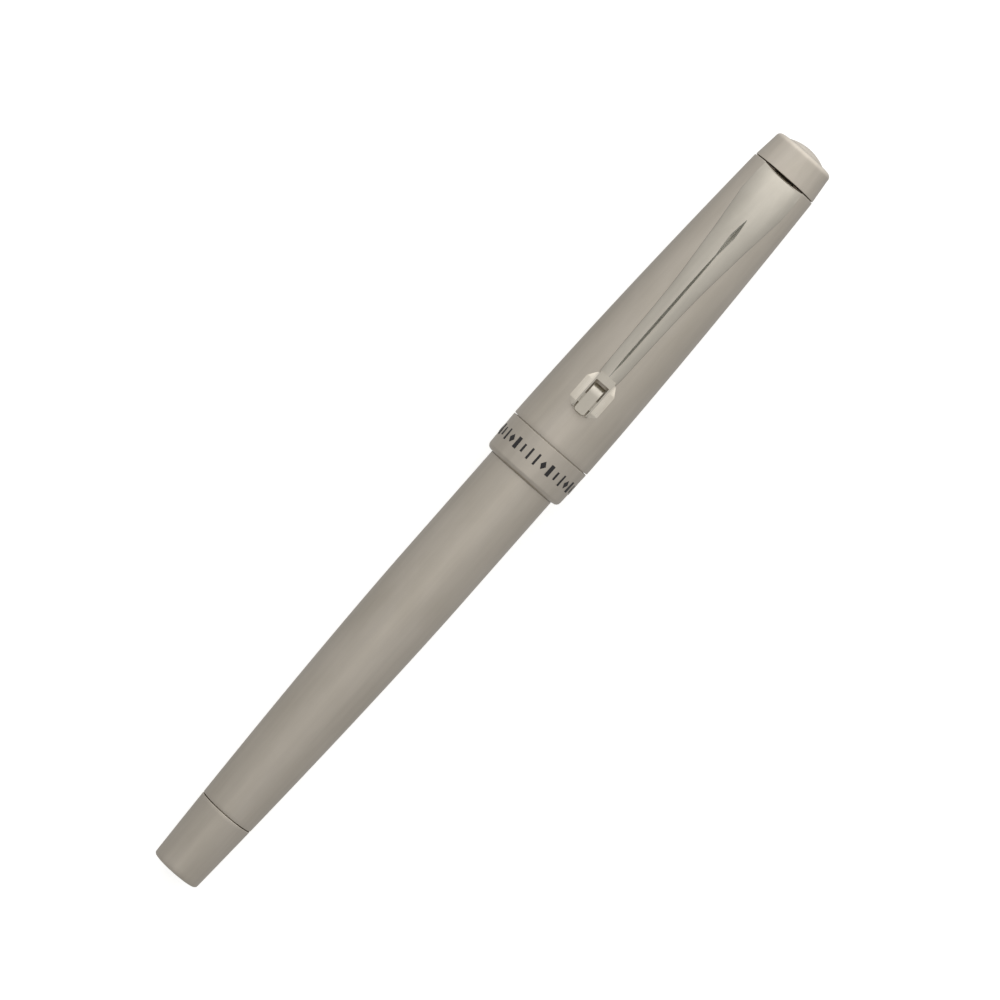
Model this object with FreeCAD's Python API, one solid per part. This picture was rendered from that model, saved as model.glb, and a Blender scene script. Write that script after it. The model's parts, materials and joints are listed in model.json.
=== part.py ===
import FreeCAD, Part
import math
import os

# Capped rollerball pen lying on its side with the clip on top.
# Everything is drawn about the pen's own axis: x runs from the tail (0) to the crown,
# z points up through the clip.  One placement at the end lays the pen on the ground.

os.makedirs("parts", exist_ok=True)
V = FreeCAD.Vector
AXIS = V(1, 0, 0)

# --- overall lengths along the axis, from the tail end (mm) ---
PEN_LENGTH = 140.0
TAIL_SEAM = 11.7          # tail cap meets the barrel tube
CAP_LENGTH = 63.2         # from the mouth of the cap to the top of the crown
BAND_LENGTH = 6.4         # plain band round the mouth of the cap
CROWN_LENGTH = 5.7        # from the cap tube to the top of the crown
SEAM_GAP = 0.15           # fine dark line left between visible pieces
EDGE_BREAK = 0.08         # tiny rounding on seam edges

# --- radii (mm) ---
TAIL_R = 3.95
BARREL_R = 5.70
CAP_OVER = 1.24           # the cap is this much larger than the barrel
BAND_UNDER = 0.06         # the band is this much smaller than the cap
CAP_FALL = 1.47           # the cap narrows by this much towards the crown
CROWN_FALL = 0.45         # and the crown by this much again
COVER_STEP = 0.25         # the barrel is slimmer where the cap covers it
COVER_GAP = 0.1           # that slimmer length starts this far outside the cap
WALL = 0.75               # drawn metal tubes
TAPER_LENGTH = 56.0       # the barrel swells over this length, then runs straight
TAPER_POWER = 1.6
CAP_POWER = 1.65

# --- clearances (mm) ---
FIT = 0.02                # pushed-together pieces of one body
RUN = 0.06                # running fit of moving pieces
FREE = 0.15               # cap over barrel

# --- refill, a standard 110.5 mm x 6 mm rollerball cartridge ---
REFILL_R = 3.0
REFILL_LENGTH = 110.5
REFILL_BODY = 96.4
REFILL_WALL = 0.35
TIP_R = 1.15
BALL_R = 0.35
REFILL_TRAVEL = 1.5       # how far the spring lets the cartridge back off
PLUG_RIM = 0.8            # rim of the cartridge's end plug
PLUG_LENGTH = 5.5
FEED_LENGTH = 5.0         # feed inside the cartridge tube
FEED_UNDER = 0.7          # feed in the nose, smaller than the cartridge by this much
TIP_LENGTH = 6.9
WICK_R = 0.5
WICK_REACH = 6.0          # wick inside the ink reservoir
INK_DUCT_R = 0.15         # ink way from the wick to the ball

# --- section and its screw thread ---
THREAD_R = 4.55
THREAD_DEPTH = 0.34
THREAD_PITCH = 0.8
THREAD_LENGTH = 6.4
THREAD_PLAY = 0.07
BUSH_LENGTH = 8.6
THREAD_LEAD = 0.8         # plain lead before the section's thread
RING_LENGTH = 1.3         # loose trim ring between barrel and grip
RING_PLAY = 0.05
RING_ROUND = 0.3
NIPPLE_REACH = 7.6        # brass spigot inside the grip
NIPPLE_SPIGOT_R = 3.9
GRIP_LENGTH = 25.5
GRIP_R = 5.1
GRIP_FRONT = 4.55
GRIP_WAY = 0.3            # space round the cartridge inside the grip and the tail cap
NOSE_END_R = 1.8
NOSE_POWER = 1.6
NOSE_SPIGOT = 8.0
NOSE_THROAT = 2.6         # narrow bore at the very front, then a cone this far back
NOSE_CONE = 5.0
NOSE_WAY = 0.25           # space round the feed inside the nose

# --- cap ---
BAND_DRAFT = 0.08         # the band widens by twice this towards the cap tube
LIP_ROUND = 0.8
SNAP_LENGTH = 1.5         # groove for the split ring
SNAP_SPLIT = 1.0          # half width of its gap
CAP_STRAIGHT = 0.8        # short straight length of the cap beside the band
BORE_STRAIGHT = 24.2      # the bore of the cap is straight this far
LINER_OPEN = 23.2         # liner starts this far inside the cap
LINER_WALL = 2.2
LINER_PLAY = 0.06
LINER_AIR = 0.4           # space round the nose inside the liner
SCREW_R = 1.45
SCREW_HEAD_R = 2.35
SCREW_HEAD = 1.5
SCREW_REACH = 2.5         # screw inside the crown
CROWN_SIDE = 3.6          # sloping side of the crown
CROWN_ROUND = 0.75
RIM_DEPTH = 0.75          # edge of the domed inlay below the top of the crown
DOME_R = 3.1
DOME_DEEP = 1.3

# --- clip ---
CLIP_ARM = 38.2           # from the root to the plate
CLIP_BACK = 0.1           # clip root stops this far short of the cap tube's end
CLIP_THIN = 0.15          # height of the clip's side edges at the root, and along the arm
CLIP_EDGE = 0.70
CLIP_EDGE_LENGTH = 4.0
CLIP_BULGE = 0.12         # rounding of the clip's sides
CLIP_LIFT = 0.45          # top line over the cap at the root, and along the arm
CLIP_RISE = 2.20
CLIP_RISE_LENGTH = 5.5
CLIP_DROOP = 0.007
CLIP_HUG = 0.12           # space under the clip at the root, and along the arm
CLIP_GAP = 0.95
CLIP_GAP_LENGTH = 9.0
BACK_DISH = 0.3           # hollow of the clip's back edge under the crown
CRESCENT_DEEP = 0.3       # shallow crescent in the cap between clip and crown
TONGUE_THICK = 1.0
TONGUE_HALF = 1.5
TONGUE_LOW = 1.9
TONGUE_PLAY = 0.25
PIVOT_R = 0.45            # cross pin through the tongue
PIVOT_Z = 3.1
PIVOT_COVER = 0.3         # the ends of the pin stay this far inside the cap tube
PLATE_LENGTH = 6.6        # eight-sided plate at the clip's free end
PLATE_HALF = 2.6
PLATE_THICK = 1.1
PLATE_NOSE = 1.05         # lengths of the cut corners, and half widths of the two ends
PLATE_NOSE_HALF = 1.45
PLATE_NECK = 1.8
PLATE_NECK_HALF = 1.42
WING_DEEP = 0.5           # the plate's wings slope down this far from a strip as wide as the arm
STRIP_HALF = 1.42
WINDOW_HALF = 1.18
WINDOW_LENGTH = 5.3
BAR_HALF = 0.9            # glide bar in the window
FOOT_START = 1.1          # cross foot of the bar, under the plate
FOOT_LENGTH = 1.6

# half width of the clip against the distance from its root
CLIP_HALF = ((0.0, 3.45), (2.0, 3.60), (4.9, 3.62), (8.2, 3.27), (12.1, 2.85),
             (19.4, 2.20), (26.0, 1.85), (32.5, 1.68), (36.0, 1.60), (39.0, 1.40))
# crease down the clip: distance from the root, half width, depth
CREASE = ((8.2, 0.05, 0.05), (9.6, 0.25, 0.45), (11.4, 0.44, 0.78), (13.2, 0.30, 0.50),
          (15.0, 0.13, 0.20), (18.5, 0.20, 0.42), (27.0, 0.23, 0.48), (35.0, 0.19, 0.36),
          (CLIP_ARM, 0.06, 0.05))

# --- stations and radii that follow from the sizes above ---
CAP_LIP = PEN_LENGTH - CAP_LENGTH
CROWN_SEAM = PEN_LENGTH - CROWN_LENGTH
BAND_TOP = CAP_LIP + BAND_LENGTH
STRAIGHT_END = CAP_LIP - COVER_GAP
MOUTH = CAP_LIP + 2.2                      # end of the barrel tube, inside the cap
RING_START = MOUTH + RING_PLAY
FLANGE = RING_START + RING_LENGTH + RING_PLAY   # back face of the grip section
GRIP_END = FLANGE + GRIP_LENGTH
TIP_END = PEN_LENGTH - 16.45               # front of the ball
REFILL_END = TIP_END - REFILL_LENGTH       # back of the cartridge
REFILL_FRONT = REFILL_END + REFILL_BODY    # shoulder of the cartridge
NOSE_END = TIP_END - 2.75
LINER_FLOOR = TIP_END + 1.6
LINER_START = CAP_LIP + LINER_OPEN
LINER_END = LINER_FLOOR + LINER_WALL
CLIP_ROOT = CROWN_SEAM - CLIP_BACK
CROWN_START = CROWN_SEAM + SEAM_GAP
CAP_R = BARREL_R + CAP_OVER
BAND_R = CAP_R - BAND_UNDER
CROWN_SEAT_R = CAP_R - CAP_FALL            # cap tube where it meets the crown
CROWN_END_R = CROWN_SEAT_R - CROWN_FALL
COVERED_R = BARREL_R - COVER_STEP
RING_R = COVERED_R
BARREL_BORE = BARREL_R - WALL + 0.05
SECTION_BORE = REFILL_R + 0.09
CAP_BORE = BARREL_R + 0.28
BORE_TAPER = CAP_LIP + BORE_STRAIGHT
SPIGOT_R = CAP_BORE + 0.42                 # cap tube inside the band
COLLAR_R = THREAD_R - 0.15                 # the trim ring turns on this


def barrel_radius(x):
    """Outside of the tail cap and barrel tube."""
    left = max(0.0, 1.0 - x / TAPER_LENGTH)
    return BARREL_R - (BARREL_R - TAIL_R) * left ** TAPER_POWER


def cap_radius(x):
    """Outside of the cap tube."""
    start = BAND_TOP + CAP_STRAIGHT
    along = max(0.0, (x - start) / (CROWN_SEAM - start))
    return CAP_R - (CAP_R - CROWN_SEAT_R) * along ** CAP_POWER


def cap_bore(x):
    """Inside of the cap tube."""
    along = max(0.0, (x - BORE_TAPER) / (CROWN_SEAM - BORE_TAPER))
    return CAP_BORE - (CAP_BORE - CROWN_SEAT_R + WALL + 0.1) * along


def curve(radius, start, end, count=7):
    """Smooth edge that follows radius(x) between two stations."""
    step = (end - start) / (count - 1)
    points = [V(start + i * step, 0, radius(start + i * step)) for i in range(count)]
    spline = Part.BSplineCurve()
    spline.interpolate(points)
    return spline.toShape()


def arc(a, b, c):
    """Arc through three (x, radius) points."""
    return Part.Arc(V(a[0], 0, a[1]), V(b[0], 0, b[1]), V(c[0], 0, c[1])).toShape()


def dome(edge, radius, apex):
    """Spherical cap on the axis, from its edge to its apex."""
    height = apex - edge
    ball = (height ** 2 + radius ** 2) / (2 * abs(height))
    half = radius / 2
    sink = math.copysign(ball - math.sqrt(ball ** 2 - half ** 2), height)
    return arc((edge, radius), (apex - sink, half), (apex, 0.0))


def turned(*items):
    """Solid of revolution from corner points and edges, joined by straight lines."""
    edges = []
    last = None
    for item in items:
        if isinstance(item, tuple):
            begin = V(item[0], 0, item[1])
            end = begin
        else:
            begin = item.valueAt(item.FirstParameter)
            end = item.valueAt(item.LastParameter)
            if last and last.distanceToPoint(end) < last.distanceToPoint(begin):
                begin, end = end, begin
        if last is None:
            first = begin
        elif last.distanceToPoint(begin) > 1e-6:
            edges.append(Part.makeLine(last, begin))
        if not isinstance(item, tuple):
            edges.append(item)
        last = end
    if last.distanceToPoint(first) > 1e-6:
        edges.append(Part.makeLine(last, first))
    face = Part.Face(Part.Wire(edges))
    return face.revolve(V(0, 0, 0), AXIS, 360)


def tube(start, end, outer, inner=0.0):
    return turned((start, inner), (end, inner), (end, outer), (start, outer))


def box(x0, x1, half, z0, z1):
    return Part.makeBox(x1 - x0, 2 * half, z1 - z0, V(x0, -half, z0))


def soften(solid, size, *spots):
    """Round the turned edges nearest the given (x, radius) spots."""
    picked = []
    for x, radius in spots:
        rings = [e for e in solid.Edges if not e.Degenerated and isinstance(e.Curve, Part.Circle)]
        rings.sort(key=lambda e: abs(e.Curve.Center.x - x) + abs(e.Curve.Radius - radius))
        picked.append(rings[0])
    return solid.makeFillet(size, picked)


def thread(start, length, core, crest, root_half, crest_half):
    """Helical ridge about the axis, from just inside core out to crest."""
    sunk = core - 0.06
    helix = Part.makeHelix(THREAD_PITCH, length, sunk)
    corners = [
        V(sunk, 0, -root_half),
        V(crest, 0, -crest_half),
        V(crest, 0, crest_half),
        V(sunk, 0, root_half),
    ]
    ridge = Part.makePolygon(corners + corners[:1])
    solid = Part.Wire(helix.Edges).makePipeShell([ridge], True, True)
    solid.rotate(V(0, 0, 0), V(0, 1, 0), 90)
    solid.translate(V(start, 0, 0))
    return solid


# ---------------------------------------------------------------- barrel
STUB = 6.0                       # tail cap stub inside the barrel tube
SOCKET_R = barrel_radius(TAIL_SEAM) - WALL
POCKET_R = REFILL_R + GRIP_WAY   # spring pocket in the tail cap
TAIL_DOME = 0.2                  # height of the domed tail end
TAIL_ROUND = 0.45
TAIL_FLOOR = 2.0

tail_cap = turned(
    (TAIL_FLOOR, 0.0),
    dome(TAIL_DOME, barrel_radius(TAIL_DOME), 0.0),
    curve(barrel_radius, TAIL_DOME, TAIL_SEAM - SEAM_GAP),
    (TAIL_SEAM - SEAM_GAP, SOCKET_R - FIT),
    (TAIL_SEAM + STUB, SOCKET_R - FIT),
    (TAIL_SEAM + STUB, POCKET_R),
    (TAIL_FLOOR, POCKET_R),
)
tail_cap = soften(tail_cap, TAIL_ROUND, (TAIL_DOME, barrel_radius(TAIL_DOME)))
tail_cap = soften(tail_cap, EDGE_BREAK, (TAIL_SEAM - SEAM_GAP, barrel_radius(TAIL_SEAM - SEAM_GAP)))

BUSH_START = MOUTH - 0.1 - BUSH_LENGTH
MOUTH_ROUND = 0.25
barrel_tube = turned(
    curve(barrel_radius, TAIL_SEAM, TAPER_LENGTH, 9),
    (STRAIGHT_END, BARREL_R),
    (STRAIGHT_END, COVERED_R),
    (MOUTH, COVERED_R),
    (MOUTH, BARREL_BORE),
    (TAPER_LENGTH, BARREL_BORE),
    (TAIL_SEAM + STUB + 1.0, SOCKET_R),
    (TAIL_SEAM, SOCKET_R),
)
barrel_tube = soften(barrel_tube, EDGE_BREAK, (TAIL_SEAM, barrel_radius(TAIL_SEAM)))
barrel_tube = soften(barrel_tube, MOUTH_ROUND, (MOUTH, COVERED_R))

CORE_R = THREAD_R - THREAD_DEPTH            # root of the section thread
NUT_R = CORE_R + THREAD_PLAY + 0.03         # crest of the bush thread
TURN_HALF = THREAD_PITCH * 0.36
TURN_CREST = THREAD_PITCH * 0.12
barrel_bush = tube(BUSH_START, BUSH_START + BUSH_LENGTH, BARREL_BORE - FIT, NUT_R)
groove = thread(
    BUSH_START - THREAD_PITCH,
    BUSH_LENGTH + 2 * THREAD_PITCH,
    CORE_R,
    THREAD_R + THREAD_PLAY,
    TURN_HALF + THREAD_PLAY,
    TURN_CREST + THREAD_PLAY,
)
barrel_bush = barrel_bush.cut(groove)

SPRING_WIRE = 0.25
WIRE_FLATS = 12                  # the round wire is drawn with this many sides
SPRING_R = REFILL_R - 0.45
SPRING_START = TAIL_FLOOR + SPRING_WIRE + FIT
SPRING_TURNS = 6
spring_length = REFILL_END - SPRING_WIRE - SPRING_START - 0.05
helix = Part.makeHelix(spring_length / SPRING_TURNS, spring_length, SPRING_R)
corners = []
for i in range(WIRE_FLATS):
    turn = 2 * math.pi * i / WIRE_FLATS
    corners.append(V(SPRING_R + SPRING_WIRE * math.cos(turn), 0, SPRING_WIRE * math.sin(turn)))
wire_section = Part.makePolygon(corners + corners[:1])
refill_spring = Part.Wire(helix.Edges).makePipeShell([wire_section], True, True)
refill_spring.rotate(V(0, 0, 0), V(0, 1, 0), 90)
refill_spring.translate(V(SPRING_START, 0, 0))

# ---------------------------------------------------------------- section
THREAD_START = BUSH_START + THREAD_PITCH    # keeps both threads in step
NIPPLE_START = THREAD_START - THREAD_LEAD
THREAD_CHAMFER = 0.3
NECK_STEP = 0.25                 # neck between the thread and the collar
COLLAR_START = THREAD_START + THREAD_LENGTH
NIPPLE_END = FLANGE + NIPPLE_REACH
section_nipple = turned(
    (NIPPLE_START, SECTION_BORE),
    (NIPPLE_START, CORE_R - THREAD_CHAMFER / 2),
    (NIPPLE_START + THREAD_CHAMFER, CORE_R),
    (COLLAR_START, CORE_R),
    (COLLAR_START, COLLAR_R - NECK_STEP),
    (MOUTH, COLLAR_R - NECK_STEP),
    (MOUTH, COLLAR_R),
    (FLANGE, COLLAR_R),
    (FLANGE, NIPPLE_SPIGOT_R),
    (NIPPLE_END, NIPPLE_SPIGOT_R),
    (NIPPLE_END, SECTION_BORE),
)
ridge = thread(
    THREAD_START,
    THREAD_LENGTH - THREAD_PITCH,
    CORE_R,
    THREAD_R,
    TURN_HALF,
    TURN_CREST,
)
section_nipple = section_nipple.fuse(ridge)

trim_ring = tube(RING_START, RING_START + RING_LENGTH, RING_R, COLLAR_R + RUN)
trim_ring = soften(trim_ring, RING_ROUND, (RING_START, RING_R), (RING_START + RING_LENGTH, RING_R))

SPIGOT_BORE = REFILL_R + 0.5
NOSE_START = GRIP_END - NOSE_SPIGOT


def grip_radius(x):
    along = (x - FLANGE) / GRIP_LENGTH
    return GRIP_R - (GRIP_R - GRIP_FRONT) * math.sin(along * math.pi / 2)


def nose_radius(x):
    along = max(0.0, (x - GRIP_END) / (NOSE_END - GRIP_END))
    return GRIP_FRONT - (GRIP_FRONT - NOSE_END_R) * along ** NOSE_POWER


# outside of the grip from the barrel end, with shallow finger grooves near the front
GRIP_GROOVES = 5
GROOVE_LAST = 2.5
GROOVE_STEP = 1.6
GROOVE_HALF = 0.3
GROOVE_DEEP = 0.16
grip_side = []
begin = FLANGE
for i in range(GRIP_GROOVES):
    at = GRIP_END - GROOVE_LAST - GROOVE_STEP * (GRIP_GROOVES - 1 - i)
    grip_side.append(curve(grip_radius, begin, at - GROOVE_HALF))
    grip_side.append((at, grip_radius(at) - GROOVE_DEEP))
    begin = at + GROOVE_HALF
grip_side.append(curve(grip_radius, begin, GRIP_END))
grip_section = turned(
    (FLANGE, NIPPLE_SPIGOT_R + FIT),
    *grip_side,
    (GRIP_END, SPIGOT_BORE + FIT),
    (NOSE_START, SPIGOT_BORE + FIT),
    (NOSE_START, REFILL_R + GRIP_WAY),
    (NIPPLE_END + 0.1, REFILL_R + GRIP_WAY),
    (NIPPLE_END + 0.1, NIPPLE_SPIGOT_R + FIT),
)
grip_section = soften(grip_section, 0.2, (FLANGE, GRIP_R))

NOSE_BORE = REFILL_R - FEED_UNDER + NOSE_WAY
THROAT_R = TIP_R + 0.2
nose_cone = turned(
    (NOSE_START, SECTION_BORE),
    (NOSE_START, SPIGOT_BORE),
    (GRIP_END + FIT, SPIGOT_BORE),
    (GRIP_END + FIT, GRIP_FRONT - 0.15),
    curve(nose_radius, GRIP_END + 0.2, NOSE_END),
    (NOSE_END, THROAT_R),
    (NOSE_END - NOSE_THROAT, THROAT_R),
    (NOSE_END - NOSE_CONE, NOSE_BORE),
    (REFILL_FRONT + FIT, NOSE_BORE),
    (REFILL_FRONT + FIT, SECTION_BORE),
)

# ---------------------------------------------------------------- refill
TUBE_BORE = REFILL_R - REFILL_WALL
TUBE_START = REFILL_END + PLUG_RIM
PLUG_END = REFILL_END + PLUG_LENGTH
refill_tube = tube(TUBE_START, REFILL_FRONT, REFILL_R, TUBE_BORE)
refill_plug = turned(
    (REFILL_END, 0.0),
    (REFILL_END, REFILL_R - 0.1),
    (TUBE_START - FIT, REFILL_R - 0.1),
    (TUBE_START - FIT, TUBE_BORE - FIT),
    (PLUG_END - 0.6, TUBE_BORE - FIT),
    (PLUG_END, TUBE_BORE - 0.6),
    (PLUG_END, 0.0),
)
FEED_START = REFILL_FRONT - FEED_LENGTH
FEED_R = REFILL_R - FEED_UNDER
TIP_START = TIP_END - TIP_LENGTH
feed_holder = turned(
    (FEED_START, WICK_R + FIT),
    (FEED_START, TUBE_BORE - FIT),
    (REFILL_FRONT, TUBE_BORE - FIT),
    (REFILL_FRONT, FEED_R),
    (NOSE_END - NOSE_CONE - 0.2, FEED_R),
    (NOSE_END - NOSE_THROAT - 0.3, TIP_R + 0.12),
    (NOSE_END - NOSE_THROAT + 0.2, TIP_R + 0.12),
    (NOSE_END - NOSE_THROAT + 0.2, TIP_R + FIT),
    (TIP_START, TIP_R + FIT),
    (TIP_START, WICK_R + FIT),
)
WICK_START = FEED_START - WICK_REACH
CONE_START = TIP_END - 2.3       # the writing tip narrows from here to the ball
WICK_END = CONE_START - 0.1
ink_wick = tube(WICK_START, WICK_END, WICK_R)
ink_reservoir = tube(PLUG_END + 0.5, FEED_START - 0.2, TUBE_BORE - FIT)
ink_reservoir = ink_reservoir.cut(tube(WICK_START - FIT, FEED_START, WICK_R + FIT))

BALL_X = TIP_END - BALL_R
LIP_X = BALL_X + BALL_R * 0.5
writing_tip = turned(
    (TIP_START + FIT, 0.0),
    (TIP_START + FIT, TIP_R),
    (CONE_START, TIP_R),
    (LIP_X, BALL_R + 0.07),
    (LIP_X, 0.0),
)
writing_tip = writing_tip.cut(tube(TIP_START, WICK_END + FIT, WICK_R + FIT))
writing_tip = writing_tip.cut(tube(WICK_END, BALL_X, INK_DUCT_R))
writing_tip = writing_tip.cut(Part.makeSphere(BALL_R + FIT, V(BALL_X, 0, 0)))
writing_ball = Part.makeSphere(BALL_R, V(BALL_X, 0, 0))

# ---------------------------------------------------------------- cap
SNAP_GROOVE = MOUTH + 0.05
SNAP_END = SNAP_GROOVE + SNAP_LENGTH
LIP_R = BAND_R - 1.5 * BAND_DRAFT
BAND_END_R = BAND_R + 0.5 * BAND_DRAFT
cap_band = turned(
    (CAP_LIP, BARREL_R + FREE),
    (CAP_LIP, LIP_R),
    (BAND_TOP - SEAM_GAP, BAND_END_R),
    (BAND_TOP - SEAM_GAP, SPIGOT_R + FIT),
    (SNAP_GROOVE, SPIGOT_R + FIT),
    (SNAP_GROOVE, BARREL_R + FREE),
)
cap_band = soften(cap_band, LIP_ROUND, (CAP_LIP, LIP_R))
cap_band = soften(cap_band, EDGE_BREAK, (BAND_TOP - SEAM_GAP, BAND_END_R))

# split ring captive in the mouth of the cap; it grips the trim ring and the cap turns on it
SNAP_START = SNAP_GROOVE + 0.05
cap_snap_ring = tube(SNAP_START, SNAP_END - 0.05, SPIGOT_R - 0.15, RING_R + RUN)
cap_snap_ring = cap_snap_ring.cut(box(SNAP_START - 1, SNAP_END + 1, SNAP_SPLIT, -2 * CAP_R, 0))

cap_tube = turned(
    (SNAP_END, CAP_BORE),
    (SNAP_END, SPIGOT_R),
    (BAND_TOP, SPIGOT_R),
    (BAND_TOP, CAP_R),
    curve(cap_radius, BAND_TOP + CAP_STRAIGHT, CROWN_SEAM, 11),
    (CROWN_SEAM, cap_bore(CROWN_SEAM)),
    (BORE_TAPER, CAP_BORE),
)
cap_tube = soften(cap_tube, EDGE_BREAK, (BAND_TOP, CAP_R))
cap_tube = soften(cap_tube, EDGE_BREAK, (CROWN_SEAM, CROWN_SEAT_R))

# plastic liner that closes over the nose
HEAD_END = LINER_FLOOR + SCREW_HEAD        # screw head sits in the floor of the liner
HEAD_WAY = SCREW_HEAD_R + 0.1
inner_cap = turned(
    (LINER_START, cap_bore(LINER_START) - LINER_PLAY),
    (BORE_TAPER, CAP_BORE - LINER_PLAY),
    (LINER_END, cap_bore(LINER_END) - LINER_PLAY),
    (LINER_END, SCREW_R + FREE),
    (HEAD_END, SCREW_R + FREE),
    (HEAD_END, HEAD_WAY),
    (LINER_FLOOR, HEAD_WAY),
    (NOSE_END + 0.6, HEAD_WAY),
    curve(lambda x: nose_radius(x) + LINER_AIR, NOSE_END, GRIP_END, 6),
    (LINER_START, GRIP_R + LINER_AIR / 2),
)

# screw that pulls crown, clip bush and liner together
SCREW_END = CROWN_START + SCREW_REACH
DRIVE_HALF = 0.3                 # screwdriver slot
DRIVE_DEEP = 0.8
crown_screw = turned(
    (LINER_FLOOR + 0.05, 0.0),
    (LINER_FLOOR + 0.25, SCREW_HEAD_R),
    (HEAD_END - FIT, SCREW_HEAD_R),
    (HEAD_END - FIT, SCREW_R),
    (SCREW_END, SCREW_R),
    (SCREW_END, 0.0),
)
crown_screw = crown_screw.cut(box(LINER_FLOOR, LINER_FLOOR + DRIVE_DEEP, DRIVE_HALF, -CAP_R, CAP_R))

RIM_X = PEN_LENGTH - RIM_DEPTH
CORNER_X = RIM_X - 0.2
CORNER_R = CROWN_END_R - 0.06
CROWN_BACK_R = CROWN_SEAT_R - 0.06
DOME_FLOOR = RIM_X - DOME_DEEP
crown = turned(
    (CROWN_START, 0.0),
    (CROWN_START, CROWN_BACK_R),
    (CROWN_START + CROWN_SIDE, CROWN_END_R),
    (CORNER_X, CORNER_R),
    (RIM_X, DOME_R),
    (DOME_FLOOR, DOME_R),
    (DOME_FLOOR, 0.0),
)
crown = soften(crown, CROWN_ROUND, (CORNER_X, CORNER_R))
crown = soften(crown, 0.1, (CROWN_START, CROWN_BACK_R))
crown = crown.cut(tube(CROWN_START - 1, SCREW_END + 0.1, SCREW_R + FIT))
crown_dome = turned(
    (DOME_FLOOR + FIT, 0.0),
    (DOME_FLOOR + FIT, DOME_R - FIT),
    (RIM_X + 0.04, DOME_R - FIT),
    dome(RIM_X + 0.04, DOME_R - FIT, PEN_LENGTH),
)


# ---------------------------------------------------------------- clip
def clip_rise(x):
    """Height of the clip's top line over the cap: climbs fast, then settles back a little."""
    away = CLIP_ROOT - x
    climb = 1.0 - math.exp(-away / CLIP_RISE_LENGTH)
    return CLIP_LIFT + (CLIP_RISE - CLIP_LIFT) * climb - CLIP_DROOP * away


def clip_gap(x):
    """Space between the clip and the cap."""
    away = CLIP_ROOT - x
    return CLIP_HUG + (CLIP_GAP - CLIP_HUG) * (1.0 - math.exp(-(away / CLIP_GAP_LENGTH) ** 2))


def clip_edge(x):
    """Height of the clip's side edges."""
    away = CLIP_ROOT - x
    return CLIP_THIN + (CLIP_EDGE - CLIP_THIN) * (1.0 - math.exp(-away / CLIP_EDGE_LENGTH))


def clip_half(x):
    """Half width of the clip, straight lines between the listed widths."""
    away = CLIP_ROOT - x
    rows = CLIP_HALF
    if away <= rows[0][0]:
        return rows[0][1]
    for (a, wide_a), (b, wide_b) in zip(rows, rows[1:]):
        if away <= b:
            return wide_a + (wide_b - wide_a) * (away - a) / (b - a)
    return rows[-1][1]


def clip_top(x):
    return cap_radius(x) + clip_rise(x)


def clip_outline(x):
    """Cross-section of the clip: domed top, rounded sides, underside that follows the cap."""
    half = clip_half(x)
    top = clip_top(x)
    low = cap_radius(x) + clip_gap(x)
    low_side = math.sqrt(cap_radius(x) ** 2 - half ** 2) + clip_gap(x)
    top_side = low_side + clip_edge(x)
    middle = (top_side + low_side) / 2
    bulge = half + CLIP_BULGE
    arcs = (
        ((-half, top_side), (0.0, top), (half, top_side)),
        ((half, top_side), (bulge, middle), (half, low_side)),
        ((half, low_side), (0.0, low), (-half, low_side)),
        ((-half, low_side), (-bulge, middle), (-half, top_side)),
    )
    edges = [Part.Arc(*[V(x, y, z) for y, z in points]).toShape() for points in arcs]
    return Part.Wire(edges)


CLIP_STATIONS = (0.0, 1.0, 2.0, 3.4, 4.9, 6.6, 8.2, 12.1, 15.5, 19.4, 26.0, 32.5, 36.0, 39.2)
clip = Part.makeLoft([clip_outline(CLIP_ROOT - d) for d in CLIP_STATIONS], True, False)

# back end: turned rounding over the top, and a hollow that leaves a crescent beside the crown
ROUND_LENGTH = 0.5
round_low = cap_radius(CLIP_ROOT) + clip_gap(CLIP_ROOT) + 0.1
round_high = round_low + 0.8
rounding = turned(
    arc(
        (CLIP_ROOT - BACK_DISH, round_low),
        (CLIP_ROOT - BACK_DISH - 0.12, round_low + 0.4),
        (CLIP_ROOT - BACK_DISH - ROUND_LENGTH, round_high),
    ),
    (CLIP_ROOT - BACK_DISH - ROUND_LENGTH, round_high + 2.0),
    (CLIP_ROOT + 1.0, round_high + 2.0),
    (CLIP_ROOT + 1.0, round_low - 0.2),
)
clip = clip.cut(rounding)
DISH_R = clip_half(CLIP_ROOT) ** 2 / (2 * BACK_DISH)
dish = Part.makeCylinder(DISH_R, 4 * CAP_R, V(CLIP_ROOT - BACK_DISH + DISH_R, 0, 0))
clip = clip.cut(dish)

# eight-sided end plate with sloping edges
PLATE_START = CLIP_ROOT - CLIP_ARM - PLATE_LENGTH
PLATE_TOP = clip_top(PLATE_START + PLATE_LENGTH / 2)
PLATE_LOW = PLATE_TOP - PLATE_THICK
PLATE_CORNERS = (
    (0.0, PLATE_NOSE_HALF),
    (PLATE_NOSE, PLATE_HALF),
    (PLATE_LENGTH - PLATE_NECK, PLATE_HALF),
    (PLATE_LENGTH, PLATE_NECK_HALF),
)
STRIP_CORNERS = (
    (0.12, PLATE_NOSE_HALF - 0.2),
    (PLATE_NOSE, STRIP_HALF),
    (PLATE_LENGTH - PLATE_NECK, STRIP_HALF),
    (PLATE_LENGTH, PLATE_NECK_HALF - 0.02),
)


def plate_wire(corners, z):
    left = [V(PLATE_START + x, y, z) for x, y in corners]
    right = [V(p.x, -p.y, z) for p in reversed(left)]
    return Part.makePolygon(left + right + left[:1])


wing_low = plate_wire(PLATE_CORNERS, PLATE_TOP - WING_DEEP)
plate_low = Part.Face(plate_wire(PLATE_CORNERS, PLATE_LOW)).extrude(V(0, 0, PLATE_THICK - WING_DEEP))
plate_high = Part.makeLoft([wing_low, plate_wire(STRIP_CORNERS, PLATE_TOP)], True, True)
clip = clip.fuse([plate_low, plate_high])

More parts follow.
